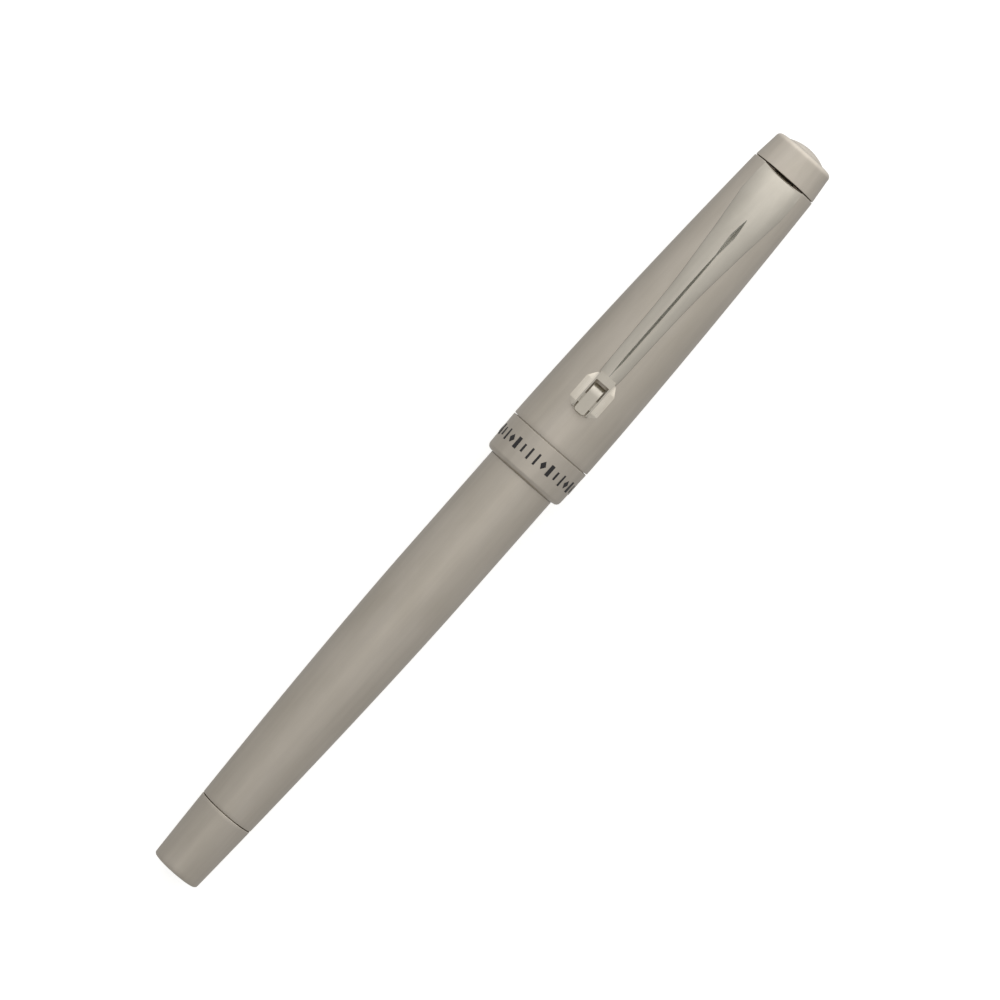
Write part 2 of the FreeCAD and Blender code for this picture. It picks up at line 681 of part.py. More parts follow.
# crease with a teardrop start
crease_wires = []
for away, half, deep in CREASE:
    x = CLIP_ROOT - away
    z = clip_top(x)
    above = z + 0.6
    corners = [V(x, -half, above), V(x, -half, z), V(x, 0, z - deep), V(x, half, z), V(x, half, above)]
    crease_wires.append(Part.makePolygon(corners + corners[:1]))
clip = clip.cut(Part.makeLoft(crease_wires, True, True))

# window through the plate, open towards the lip, with a wider step underneath
WINDOW_END = PLATE_START + WINDOW_LENGTH
STEP_WIDE = 0.6
STEP_DEEP = 0.3
clip = clip.cut(box(PLATE_START - 1, WINDOW_END, WINDOW_HALF, PLATE_LOW - 1, PLATE_TOP + 1))
clip = clip.cut(box(PLATE_START - 1, WINDOW_END, WINDOW_HALF + STEP_WIDE, PLATE_LOW - 1, PLATE_LOW + STEP_DEEP))

# glide bar that sits in the window: ramps up to the plate, rounded at the lip end
BAR_SET = 0.12                   # bar lies this far below the plate's top
BAR_END = WINDOW_END - 0.45      # the far end falls away into the window
BAR_FALL = 1.9
BAR_ROUND = 0.45
BAR_GLIDE = 0.5                  # how far the bar reaches below the plate
bar_top = PLATE_TOP - BAR_SET
bar_corners = [
    V(BAR_END, 0, PLATE_LOW + 0.1),
    V(BAR_END, 0, PLATE_LOW),
    V(PLATE_START - 0.25, 0, PLATE_LOW - BAR_GLIDE),
    V(PLATE_START - 0.1, 0, bar_top),
    V(BAR_END - BAR_FALL, 0, bar_top),
]
bar_edges = [Part.makeLine(a, b) for a, b in zip(bar_corners, bar_corners[1:])]
bar_edges.append(Part.Arc(
    bar_corners[-1],
    V(BAR_END - 0.35 * BAR_FALL, 0, bar_top - 0.25),
    bar_corners[0],
).toShape())
bar_face = Part.Face(Part.Wire(bar_edges))
bar_face.translate(V(0, -BAR_HALF, 0))
clip_bar = bar_face.extrude(V(0, 2 * BAR_HALF, 0))
upright = [e for e in clip_bar.Edges if e.BoundBox.ZLength > 1.0 and e.BoundBox.XMax < PLATE_START]
clip_bar = clip_bar.makeFillet(BAR_ROUND, upright)
foot = box(
    PLATE_START + FOOT_START,
    PLATE_START + FOOT_START + FOOT_LENGTH,
    WINDOW_HALF + STEP_WIDE - 0.05,
    PLATE_LOW + FIT,
    PLATE_LOW + STEP_DEEP - FIT,
)
clip_bar = clip_bar.fuse(foot)

# tongue that reaches down into the cap, with the cross pin that the clip turns on
TONGUE_X = CLIP_ROOT - BACK_DISH - 0.08        # face towards the crown
PIVOT_X = CROWN_START - 0.05 - PIVOT_R         # the crown holds the pin in its seat
PIVOT_REACH = cap_bore(CROWN_SEAM) - PIVOT_COVER
PIVOT_HALF = math.sqrt(PIVOT_REACH ** 2 - (PIVOT_Z + PIVOT_R) ** 2)
shell_end = cap_radius(CLIP_ROOT)
bite = clip_gap(CLIP_ROOT) + 0.1
shoulder = math.sqrt(shell_end ** 2 - TONGUE_HALF ** 2) + bite
tongue_edges = [
    Part.makeLine(V(TONGUE_X, -TONGUE_HALF, shoulder), V(TONGUE_X, -TONGUE_HALF, TONGUE_LOW)),
    Part.makeLine(V(TONGUE_X, -TONGUE_HALF, TONGUE_LOW), V(TONGUE_X, TONGUE_HALF, TONGUE_LOW)),
    Part.makeLine(V(TONGUE_X, TONGUE_HALF, TONGUE_LOW), V(TONGUE_X, TONGUE_HALF, shoulder)),
    Part.Arc(
        V(TONGUE_X, TONGUE_HALF, shoulder),
        V(TONGUE_X, 0, shell_end + bite),
        V(TONGUE_X, -TONGUE_HALF, shoulder),
    ).toShape(),
]
tongue = Part.Face(Part.Wire(tongue_edges)).extrude(V(-TONGUE_THICK, 0, 0))
pivot = Part.makeCylinder(PIVOT_R, 2 * PIVOT_HALF, V(PIVOT_X, -PIVOT_HALF, PIVOT_Z), V(0, 1, 0))
clip = clip.fuse([tongue, pivot])

# crescent beside the crown, and the opening for the tongue through the wall of the cap
crescent = tube(CLIP_ROOT - BACK_DISH - 0.2, CROWN_SEAM + 1, 2 * CAP_R, shell_end - CRESCENT_DEEP)
crescent = crescent.common(box(0, PEN_LENGTH, clip_half(CLIP_ROOT), 0, 2 * CAP_R))
dish.translate(V(-0.15, 0, 0))
cap_tube = cap_tube.cut(crescent.common(dish))
SLOT_HALF = TONGUE_HALF + TONGUE_PLAY
SLOT_START = TONGUE_X - TONGUE_THICK - TONGUE_PLAY
cap_tube = cap_tube.cut(box(SLOT_START, CROWN_SEAM + 1, SLOT_HALF, 0, 2 * CAP_R))

# bush with a seat for the tongue and its pin
BUSH_END = CROWN_SEAM - 0.1
BUSH_R = cap_bore(CROWN_SEAM) - 0.07
SEAT_START = TONGUE_X - TONGUE_THICK - 0.8
SEAT_LOW = TONGUE_LOW - 0.15
PIN_SEAT = PIVOT_R + RUN
clip_bush = tube(LINER_END + 0.05, BUSH_END, BUSH_R, SCREW_R + 0.1)
clip_bush = clip_bush.cut(box(SEAT_START, BUSH_END + 1, SLOT_HALF, SEAT_LOW, 2 * BUSH_R))
pin_way = box(PIVOT_X, BUSH_END + 1, PIVOT_HALF + RUN, PIVOT_Z - PIN_SEAT, PIVOT_Z + PIN_SEAT)
pin_end = V(PIVOT_X, -PIVOT_HALF - RUN, PIVOT_Z)
pin_round = Part.makeCylinder(PIN_SEAT, 2 * (PIVOT_HALF + RUN), pin_end, V(0, 1, 0))
clip_bush = clip_bush.cut([pin_way, pin_round])

# bowed leaf spring that pushes the tongue's tip towards the crown and so closes the clip
LEAF = 0.15
LEAF_HALF = 1.5
leaf_back = SEAT_START + 0.2
leaf_low = TONGUE_LOW + 0.05
leaf_high = PIVOT_Z - 0.1
leaf_middle = (leaf_low + leaf_high) / 2
leaf_bow = TONGUE_X - TONGUE_THICK - 0.05
leaf_edges = [
    Part.Arc(V(leaf_back, 0, leaf_low), V(leaf_bow, 0, leaf_middle), V(leaf_back, 0, leaf_high)).toShape(),
    Part.makeLine(V(leaf_back, 0, leaf_high), V(leaf_back - LEAF, 0, leaf_high)),
    Part.Arc(
        V(leaf_back - LEAF, 0, leaf_high),
        V(leaf_bow - LEAF, 0, leaf_middle),
        V(leaf_back - LEAF, 0, leaf_low),
    ).toShape(),
    Part.makeLine(V(leaf_back - LEAF, 0, leaf_low), V(leaf_back, 0, leaf_low)),
]
leaf_face = Part.Face(Part.Wire(leaf_edges))
leaf_face.translate(V(0, -LEAF_HALF, 0))
clip_spring = leaf_face.extrude(V(0, 2 * LEAF_HALF, 0))

# ---------------------------------------------------------------- lay the pen down and export
nodes = {
    "tail_cap": tail_cap,
    "barrel_tube": barrel_tube,
    "barrel_bush": barrel_bush,
    "refill_spring": refill_spring,
    "section_nipple": section_nipple,
    "trim_ring": trim_ring,
    "grip_section": grip_section,
    "nose_cone": nose_cone,
    "refill_tube": refill_tube,
    "refill_plug": refill_plug,
    "ink_reservoir": ink_reservoir,
    "ink_wick": ink_wick,
    "feed_holder": feed_holder,
    "writing_tip": writing_tip,
    "writing_ball": writing_ball,
    "cap_band": cap_band,
    "cap_snap_ring": cap_snap_ring,
    "cap_tube": cap_tube,
    "inner_cap": inner_cap,
    "clip_bush": clip_bush,
    "clip_spring": clip_spring,
    "crown_screw": crown_screw,
    "crown": crown,
    "crown_dome": crown_dome,
    "clip": clip,
    "clip_bar": clip_bar,
}


def rest_slope():
    """Slope of the line that touches the barrel and the cap from below."""
    step = 0.25
    barrel_steps = int((STRAIGHT_END - TAIL_ROUND) / step)
    barrel = [(x, barrel_radius(x)) for x in (TAIL_ROUND + step * i for i in range(barrel_steps))]
    cap = [(x, cap_radius(x)) for x in (BAND_TOP + EDGE_BREAK + step * i for i in range(120))]
    cap.append((BAND_TOP - SEAM_GAP - EDGE_BREAK, BAND_END_R))
    slope = 0.0
    for _ in range(12):
        a = max(barrel, key=lambda p: p[1] - slope * p[0])
        b = max(cap, key=lambda p: p[1] - slope * p[0])
        slope = (b[1] - a[1]) / (b[0] - a[0])
    return slope


REST_ANGLE = math.degrees(math.atan(rest_slope()))
for shape in nodes.values():
    shape.rotate(V(0, 0, 0), V(0, 1, 0), -REST_ANGLE)
whole = Part.makeCompound(list(nodes.values())).optimalBoundingBox(False, False)
shift = V(-(whole.XMin + whole.XMax) / 2, -(whole.YMin + whole.YMax) / 2, -whole.ZMin)
for name, shape in nodes.items():
    shape.translate(shift)
    shape.exportStep("parts/" + name + ".step")
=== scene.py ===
import json
import math

import bmesh
import bpy
from mathutils import Matrix, Vector


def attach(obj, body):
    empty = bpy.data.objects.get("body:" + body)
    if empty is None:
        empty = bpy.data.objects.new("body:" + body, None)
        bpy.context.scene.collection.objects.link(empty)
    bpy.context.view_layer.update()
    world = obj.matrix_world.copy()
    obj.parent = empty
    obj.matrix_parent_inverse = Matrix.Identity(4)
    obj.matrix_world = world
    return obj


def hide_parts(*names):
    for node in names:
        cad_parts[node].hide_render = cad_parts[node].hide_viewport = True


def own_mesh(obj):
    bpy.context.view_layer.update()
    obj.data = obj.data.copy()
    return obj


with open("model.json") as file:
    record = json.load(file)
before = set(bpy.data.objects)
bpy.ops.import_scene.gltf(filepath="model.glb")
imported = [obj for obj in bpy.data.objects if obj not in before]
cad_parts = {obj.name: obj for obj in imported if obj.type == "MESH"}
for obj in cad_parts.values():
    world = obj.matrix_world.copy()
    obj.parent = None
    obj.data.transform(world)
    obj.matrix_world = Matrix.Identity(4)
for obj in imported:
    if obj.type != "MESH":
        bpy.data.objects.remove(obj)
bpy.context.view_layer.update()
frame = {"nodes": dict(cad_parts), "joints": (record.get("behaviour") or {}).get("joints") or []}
print("frame loaded")

# the pen is drawn in millimetres about its own axis, x from the tail to the crown,
# and laid into the frame where the ball and the direction of the cap's pull say
mm = 0.001
joints = {joint["name"]: joint for joint in frame["joints"]}
penAxis = Vector(joints["cap_pull"]["axis"])
lean = math.asin(penAxis.z)
ballFromTail = 123.2
penPlace = (
    Matrix.Translation(joints["ball_roll"]["pos_m"])
    @ Matrix.Rotation(-lean, 4, "Y")
    @ Matrix.Scale(mm, 4)
    @ Matrix.Translation((-ballFromTail, 0, 0))
)

pen = {
    "tailRadius": 3.95,
    "barrelRadius": 5.70,
    "swellLength": 56.0,      # the barrel swells over this length
    "capRadius": 6.94,
    "crownSeatRadius": 5.47,
    "gripRadius": 5.1,
    "gripFront": 4.55,
    "noseRadius": 1.8,
    "refillBore": 3.09,
    "tailSeam": 11.7,
    "barrelMouth": 79.0,
    "gripStart": 80.4,
    "gripEnd": 105.9,
    "noseEnd": 120.8,
    "capLip": 76.8,
    "bandTop": 83.2,
    "crownSeam": 134.3,
    "seamGap": 0.15,
    "length": 140.0,
}


def barrelOutside(x):
    left = max(0.0, 1 - x / pen["swellLength"])
    return pen["barrelRadius"] - (pen["barrelRadius"] - pen["tailRadius"]) * left ** 1.6


def capOutside(x):
    start = pen["bandTop"] + 0.8
    along = max(0.0, (x - start) / (pen["crownSeam"] - start))
    return pen["capRadius"] - (pen["capRadius"] - pen["crownSeatRadius"]) * along ** 1.65


def gripOutside(x):
    along = (x - pen["gripStart"]) / (pen["gripEnd"] - pen["gripStart"])
    narrowing = pen["gripRadius"] - pen["gripFront"]
    return pen["gripRadius"] - narrowing * math.sin(along * math.pi / 2)


def noseOutside(x):
    along = max(0.0, (x - pen["gripEnd"]) / (pen["noseEnd"] - pen["gripEnd"]))
    return pen["gripFront"] - (pen["gripFront"] - pen["noseRadius"]) * along ** 1.6


def run(radius, start, end, count):
    # points along a curved outline, both ends included
    stations = [start + (end - start) * i / count for i in range(count + 1)]
    return [(x, radius(x)) for x in stations]


def softened(rows, steps=4):
    # a row's third number is the size of the rounding at that corner
    points = []
    for i, row in enumerate(rows):
        here = Vector(row[:2])
        if len(row) == 2:
            points.append(here)
            continue
        before = (Vector(rows[i - 1][:2]) - here).normalized()
        after = (Vector(rows[(i + 1) % len(rows)][:2]) - here).normalized()
        half = before.angle(after) / 2
        middle = here + (before + after).normalized() * row[2] / math.sin(half)
        begin = here + before * row[2] / math.tan(half) - middle
        finish = here + after * row[2] / math.tan(half) - middle
        for step in range(steps + 1):
            turned = begin.normalized().slerp(finish.normalized(), step / steps)
            points.append(middle + turned * row[2])
    return points


# ---- materials


def paint(hexColour):
    # sRGB hex to the linear colour the shaders want
    parts = [int(hexColour[i:i + 2], 16) / 255 for i in (1, 3, 5)]
    return [c / 12.92 if c <= 0.04045 else ((c + 0.055) / 1.055) ** 2.4 for c in parts] + [1.0]


def addNode(tree, kind, settings=None, links=None):
    node = tree.nodes.new(kind)
    for key, value in (settings or {}).items():
        if isinstance(key, int) or key in node.inputs:
            node.inputs[key].default_value = value
        else:
            setattr(node, key, value)
    for key, socket in (links or {}).items():
        tree.links.new(socket, node.inputs[key])
    return node


def startMaterial(name):
    material = bpy.data.materials.new(name)
    material.use_nodes = True
    material.node_tree.nodes.clear()
    return material, material.node_tree


def penCoordinates(tree, sizes):
    # object coordinates turned onto the pen's axis, one pattern cell per size in millimetres
    place = addNode(tree, "ShaderNodeTexCoord")
    turned = addNode(tree, "ShaderNodeMapping", {"Rotation": (0, lean, 0)}, {"Vector": place.outputs["Object"]})
    cells = [1 / (size * mm) for size in sizes]
    scaled = addNode(tree, "ShaderNodeMapping", {"Scale": cells}, {"Vector": turned.outputs["Vector"]})
    return scaled.outputs["Vector"]


def brushedMetal(name, look):
    material, tree = startMaterial(name)
    fine = addNode(tree, "ShaderNodeTexNoise", {"Scale": 1.0, "Detail": 4.0, "Roughness": 0.6},
                   {"Vector": penCoordinates(tree, look["hairline"])})
    broad = addNode(tree, "ShaderNodeTexNoise", {"Scale": 1.0, "Detail": 3.0, "Roughness": 0.5},
                    {"Vector": penCoordinates(tree, look["streak"])})
    cloud = addNode(tree, "ShaderNodeTexNoise", {"Scale": 1.0, "Detail": 3.0, "Roughness": 0.55},
                    {"Vector": penCoordinates(tree, look["cloud"])})
    grit = addNode(tree, "ShaderNodeTexNoise", {"Scale": 1.0, "Detail": 2.0},
                   {"Vector": penCoordinates(tree, look["grit"])})
    tone = addNode(tree, "ShaderNodeMapRange", {"From Min": 0.3, "From Max": 0.7},
                   {"Value": cloud.outputs["Fac"]})
    plain = addNode(tree, "ShaderNodeMix",
                    {"data_type": "RGBA", 6: paint(look["dark"]), 7: paint(look["light"])},
                    {"Factor": tone.outputs["Result"]})
    lines = addNode(tree, "ShaderNodeMapRange",
                    {"From Min": 0.3, "From Max": 0.7,
                     "To Min": 1 - look["lineTone"], "To Max": 1 + look["lineTone"]},
                    {"Value": broad.outputs["Fac"]})
    shade = addNode(tree, "ShaderNodeVectorMath", {"operation": "SCALE"},
                    {"Vector": plain.outputs[2], "Scale": lines.outputs["Result"]})
    gloss = addNode(tree, "ShaderNodeMapRange",
                    {"From Min": 0.3, "From Max": 0.7, "To Min": look["rough"] - look["roughSpread"],
                     "To Max": look["rough"] + look["roughSpread"]},
                    {"Value": fine.outputs["Fac"]})
    relief = addNode(tree, "ShaderNodeMath", {"operation": "ADD"},
                     {0: fine.outputs["Fac"], 1: grit.outputs["Fac"]})
    bump = addNode(tree, "ShaderNodeBump", {"Strength": look["bump"], "Distance": look["depth"] * mm},
                   {"Height": relief.outputs["Value"]})
    metal = addNode(tree, "ShaderNodeBsdfPrincipled", {"Metallic": 1.0},
                    {"Base Color": shade.outputs["Vector"], "Roughness": gloss.outputs["Result"],
                     "Normal": bump.outputs["Normal"]})
    addNode(tree, "ShaderNodeOutputMaterial", None, {"Surface": metal.outputs["BSDF"]})
    return material


def mouldedPlastic(name, look):
    material, tree = startMaterial(name)
    roughSpread, grainDepth = 0.06, 0.01
    grain = addNode(tree, "ShaderNodeTexNoise", {"Scale": 1.0, "Detail": 3.0},
                    {"Vector": penCoordinates(tree, look["grain"])})
    cloud = addNode(tree, "ShaderNodeTexNoise", {"Scale": 1.0, "Detail": 2.0},
                    {"Vector": penCoordinates(tree, look["cloud"])})
    colour = addNode(tree, "ShaderNodeMix",
                     {"data_type": "RGBA", 6: paint(look["dark"]), 7: paint(look["light"])},
                     {"Factor": cloud.outputs["Fac"]})
    gloss = addNode(tree, "ShaderNodeMapRange",
                    {"To Min": look["rough"] - roughSpread, "To Max": look["rough"] + roughSpread},
                    {"Value": cloud.outputs["Fac"]})
    bump = addNode(tree, "ShaderNodeBump", {"Strength": look["bump"], "Distance": grainDepth * mm},
                   {"Height": grain.outputs["Fac"]})
    plastic = addNode(tree, "ShaderNodeBsdfPrincipled", {"IOR": look["ior"]},
                      {"Base Color": colour.outputs[2], "Roughness": gloss.outputs["Result"],
                       "Normal": bump.outputs["Normal"]})
    addNode(tree, "ShaderNodeOutputMaterial", None, {"Surface": plastic.outputs["BSDF"]})
    return material


# plated brass, satin-brushed along the pen: soft wide reflections, faint lines lengthwise
satinPlate = brushedMetal("satinPlatedBrass", {
    "light": "#c8c0b2", "dark": "#bfb7a8", "lineTone": 0.03,
    "hairline": (9.0, 0.22, 0.22),   # true hairlines are nearer 0.05 mm, coarser here so that they show
    "streak": (30.0, 1.1, 1.1), "cloud": (14.0, 5.0, 5.0), "grit": (0.25, 0.25, 0.25),
    "rough": 0.42, "roughSpread": 0.05, "bump": 0.25, "depth": 0.006,
})
# the clip is handled more and a little glossier, with a cooler tone
clipPlate = brushedMetal("rubbedSatinPlate", {
    "light": "#c7c1b3", "dark": "#bdb7a9", "lineTone": 0.03,
    "hairline": (7.0, 0.2, 0.2), "streak": (24.0, 1.0, 1.0), "cloud": (10.0, 4.0, 4.0), "grit": (0.3, 0.3, 0.3),
    "rough": 0.33, "roughSpread": 0.05, "bump": 0.2, "depth": 0.005,
})
# painted shade: a dull brown colour for the floor of the hollow beside the crown, standing in for the shade the
# crown's edge casts there
paintedShadePlate = brushedMetal("paintedShadePlate", {
    "light": "#7b6d5e", "dark": "#5d5145", "lineTone": 0.05,
    "hairline": (2.0, 0.2, 0.2), "streak": (4.0, 0.8, 0.8), "cloud": (0.8, 0.6, 0.6), "grit": (0.2, 0.2, 0.2),
    "rough": 0.55, "roughSpread": 0.08, "bump": 0.3, "depth": 0.006,
})
# painted light: a lighter, cooler colour on the walls of the clip's crease, lifting the shade the groove itself
# casts; the finish there is also rougher
mattPaintedLightPlate = brushedMetal("mattPaintedLightPlate", {
    "light": "#d2d0c8", "dark": "#c6c4bc", "lineTone": 0.03,
    "hairline": (5.0, 0.2, 0.2), "streak": (12.0, 1.0, 1.0), "cloud": (4.0, 2.0, 2.0), "grit": (0.3, 0.3, 0.3),
    "rough": 0.5, "roughSpread": 0.04, "bump": 0.15, "depth": 0.004,
})
# painted highlight: a much brighter colour on the sloped wing faces of the clip's plate, in place of the light
# their bevels catch; the finish there is also a little glossier
glossyHighlightPlate = brushedMetal("glossyHighlightPlate", {
    "light": "#efe7d6", "dark": "#e2d9c7", "lineTone": 0.03,
    "hairline": (5.0, 0.2, 0.2), "streak": (12.0, 1.0, 1.0), "cloud": (4.0, 2.0, 2.0), "grit": (0.3, 0.3, 0.3),
    "rough": 0.3, "roughSpread": 0.04, "bump": 0.15, "depth": 0.004,
})
# bright plated trim: close to a mirror, with fine turning marks
brightPlate = brushedMetal("brightPlatedBrass", {
    "light": "#dedcd6", "dark": "#d2cfc8", "lineTone": 0.01,
    "hairline": (0.15, 4.0, 4.0), "streak": (0.6, 8.0, 8.0), "cloud": (6.0, 3.0, 3.0), "grit": (0.4, 0.4, 0.4),
    "rough": 0.14, "roughSpread": 0.03, "bump": 0.08, "depth": 0.003,
})
# lathe-turned brass, rings left by the tool
turnedBrass = brushedMetal("turnedBrass", {
    "light": "#d9b56b", "dark": "#bf9851", "lineTone": 0.03,
    "hairline": (0.12, 5.0, 5.0), "streak": (0.5, 9.0, 9.0), "cloud": (4.0, 2.5, 2.5), "grit": (0.3, 0.3, 0.3),
    "rough": 0.3, "roughSpread": 0.06, "bump": 0.2, "depth": 0.006,
})
# drawn spring steel and the bright refill tube
drawnSteel = brushedMetal("drawnSteel", {
    "light": "#c9cacb", "dark": "#b4b5b6", "lineTone": 0.03,
    "hairline": (6.0, 0.15, 0.15), "streak": (20.0, 0.8, 0.8),
    "cloud": (8.0, 3.0, 3.0), "grit": (0.3, 0.3, 0.3),
    "rough": 0.28, "roughSpread": 0.05, "bump": 0.15, "depth": 0.004,
})
# lapped tungsten carbide, dark and very smooth
lappedCarbide = brushedMetal("lappedCarbide", {
    "light": "#8f9092", "dark": "#7d7e80", "lineTone": 0.01,
    "hairline": (0.1, 0.1, 0.1), "streak": (0.3, 0.3, 0.3),
    "cloud": (0.4, 0.4, 0.4), "grit": (0.05, 0.05, 0.05),
    "rough": 0.12, "roughSpread": 0.02, "bump": 0.05, "depth": 0.001,
})
# grip turned from black acrylic resin, buffed to a soft shine
blackResin = mouldedPlastic("buffedBlackResin", {
    "light": "#26262a", "dark": "#18181b", "grain": (3.0, 0.2, 0.2), "cloud": (9.0, 4.0, 4.0),
    "rough": 0.3, "bump": 0.15, "ior": 1.49,
})
# liner and refill ends, injection-moulded polypropylene with a fine spark-eroded grain
mouldedLiner = mouldedPlastic("mouldedPolypropylene", {
    "light": "#2c2d30", "dark": "#202124", "grain": (0.15, 0.15, 0.15), "cloud": (5.0, 5.0, 5.0),
    "rough": 0.5, "bump": 0.3, "ior": 1.49,
})
# bonded fibre soaked in blue-black ink
inkFibre = mouldedPlastic("inkSoakedFibre", {
    "light": "#1c2038", "dark": "#10131f", "grain": (2.0, 0.08, 0.08), "cloud": (3.0, 1.0, 1.0),
    "rough": 0.75, "bump": 0.6, "ior": 1.45,
})
# matt black pad-printing ink
printInk = mouldedPlastic("padPrintedInk", {
    "light": "#201e1c", "dark": "#141210", "grain": (0.12, 0.12, 0.12), "cloud": (1.2, 1.2, 1.2),
    "rough": 0.55, "bump": 0.2, "ior": 1.5,
})
print("materials made")

nodeFinishes = {
    "clip": clipPlate, "clip_bar": clipPlate, "crown": satinPlate, "crown_dome": satinPlate,
    "cap_tube": satinPlate, "cap_band": satinPlate, "barrel_tube": satinPlate, "tail_cap": satinPlate,
    "nose_cone": brightPlate, "trim_ring": brightPlate,
    "barrel_bush": turnedBrass, "section_nipple": turnedBrass,
    "grip_section": blackResin, "inner_cap": mouldedLiner, "clip_bush": mouldedLiner,
    "refill_plug": mouldedLiner, "feed_holder": mouldedLiner,
    "refill_spring": drawnSteel, "clip_spring": drawnSteel, "cap_snap_ring": drawnSteel,
    "crown_screw": drawnSteel, "refill_tube": drawnSteel, "writing_tip": drawnSteel,
    "ink_reservoir": inkFibre, "ink_wick": inkFibre, "writing_ball": lappedCarbide,
}
for node, finish in nodeFinishes.items():
    slots = frame["nodes"][node].data.materials
    slots.clear()
    slots.append(finish)

# ---- pieces turned on the pen's axis


def finishPiece(bm, name, body, material, replaced, sharpFrom=34, place=penPlace):
    for face in bm.faces:
        face.smooth = True
    for edge in bm.edges:
        edge.smooth = len(edge.link_faces) != 2 or edge.calc_face_angle() < math.radians(sharpFrom)
    bm.transform(place)
    mesh = bpy.data.meshes.new(name)
    bm.to_mesh(mesh)
    bm.free()
    mesh.materials.append(material)
    piece = bpy.data.objects.new(name, mesh)
    bpy.context.scene.collection.objects.link(piece)
    even = piece.modifiers.new("evenShading", "WEIGHTED_NORMAL")
    even.keep_sharp = True
    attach(piece, body)
    if replaced:
        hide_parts(replaced)
    print("made", name, len(mesh.polygons), "faces")
    return piece


def spinOutline(rows, steps=144):
    # closed outline of (x, radius, rounding) rows turned into a solid
    bm = bmesh.new()
    corners = [bm.verts.new((point.x, 0, point.y)) for point in softened(rows)]
    edges = [bm.edges.new(pair) for pair in zip(corners, corners[1:] + corners[:1])]
    bmesh.ops.spin(bm, geom=corners + edges, cent=(0, 0, 0), axis=(1, 0, 0), dvec=(0, 0, 0),
                   angle=2 * math.pi, steps=steps, use_merge=True, use_duplicate=False)
    bmesh.ops.remove_doubles(bm, verts=bm.verts, dist=0.0005)
    bmesh.ops.dissolve_degenerate(bm, edges=bm.edges, dist=0.0005)
    bmesh.ops.recalc_face_normals(bm, faces=bm.faces)
    return bm


barrel = {"rows": 24, "wall": 0.7, "seamWall": 0.75, "socket": 7.0, "edge": 0.08, "mouthEdge": 0.25,
          "coveredFrom": 76.7, "coveredRadius": 5.45}
inside = pen["barrelRadius"] - barrel["wall"]
stubBore = barrelOutside(pen["tailSeam"]) - barrel["seamWall"]
outline = [(pen["tailSeam"], barrelOutside(pen["tailSeam"]), barrel["edge"])]
outline += run(barrelOutside, pen["tailSeam"] + 0.6, pen["swellLength"], barrel["rows"])
outline += [(barrel["coveredFrom"], pen["barrelRadius"], 0.02),
            (barrel["coveredFrom"], barrel["coveredRadius"]),
            (pen["barrelMouth"], barrel["coveredRadius"], barrel["mouthEdge"]),
            (pen["barrelMouth"], inside, 0.05), (pen["swellLength"], inside),
            (pen["tailSeam"] + barrel["socket"], stubBore), (pen["tailSeam"], stubBore)]
finishPiece(spinOutline(outline), "barrelTube", "barrel", satinPlate, "barrel_tube")

tail = {"rows": 8, "dome": 0.2, "endEdge": 0.45, "seamEdge": 0.08, "stub": 6.0, "stubStep": 0.77,
        "pocket": 3.3, "floor": 2.0}
end = pen["tailSeam"] - pen["seamGap"]
stubRadius = barrelOutside(pen["tailSeam"]) - tail["stubStep"]
outline = [(0, 0), (0.02, 1.2), (0.09, 2.5), (tail["dome"], barrelOutside(tail["dome"]), tail["endEdge"])]
outline += run(barrelOutside, 1.2, end - 0.6, tail["rows"])
outline += [(end, barrelOutside(end), tail["seamEdge"]), (end, stubRadius),
            (pen["tailSeam"] + tail["stub"], stubRadius, 0.1), (pen["tailSeam"] + tail["stub"], tail["pocket"]),
            (tail["floor"], tail["pocket"]), (tail["floor"], 0)]
finishPiece(spinOutline(outline), "tailCap", "barrel", satinPlate, "tail_cap")

cap = {"rows": 26, "bore": 5.98, "boreEnd": 4.62, "boreTaper": 101.0, "spigot": 6.40, "spigotStart": 80.55,
       "edge": 0.08, "slotStart": 132.57, "slotTurn": 20.0,
       "hollowStart": 133.75, "hollowStep": 0.04, "hollowEnd": 134.16, "hollowDepth": 0.3, "hollowHalf": 3.45,
       "hollowBow": 0.3}
slotAlong = (cap["slotStart"] - cap["boreTaper"]) / (pen["crownSeam"] - cap["boreTaper"])
slotBore = cap["bore"] - (cap["bore"] - cap["boreEnd"]) * slotAlong
outline = [(pen["bandTop"], pen["capRadius"], cap["edge"])]
outline += run(capOutside, pen["bandTop"] + 0.8, cap["slotStart"], cap["rows"])
outline += run(capOutside, cap["hollowStart"], cap["hollowStart"] + cap["hollowStep"], 1)
outline += [(cap["hollowEnd"], capOutside(cap["hollowEnd"])),
            (pen["crownSeam"], pen["crownSeatRadius"], cap["edge"]), (pen["crownSeam"], cap["boreEnd"], 0.05),
            (cap["slotStart"], slotBore), (cap["boreTaper"], cap["bore"]),
            (cap["spigotStart"], cap["bore"], 0.05), (cap["spigotStart"], cap["spigot"], 0.05),
            (pen["bandTop"], cap["spigot"])]
bm = spinOutline(outline)
# shallow crescent beside the crown, deepest at the top of the pen
hollowRadius = pen["crownSeatRadius"] - cap["hollowDepth"]
for vert in bm.verts:
    radius = math.hypot(vert.co.y, vert.co.z)
    outer = vert.co.x > cap["hollowStart"] - 0.01 and radius > hollowRadius + 0.05
    if not outer or vert.co.z < 0 or abs(vert.co.y) > cap["hollowHalf"]:
        continue
    away = vert.co.x - cap["hollowStart"]
    if away < 0.1:
        vert.co.x += cap["hollowBow"] * (vert.co.y / cap["hollowHalf"]) ** 2
    if away > 0.01:
        vert.co.yz = vert.co.yz * hollowRadius / radius
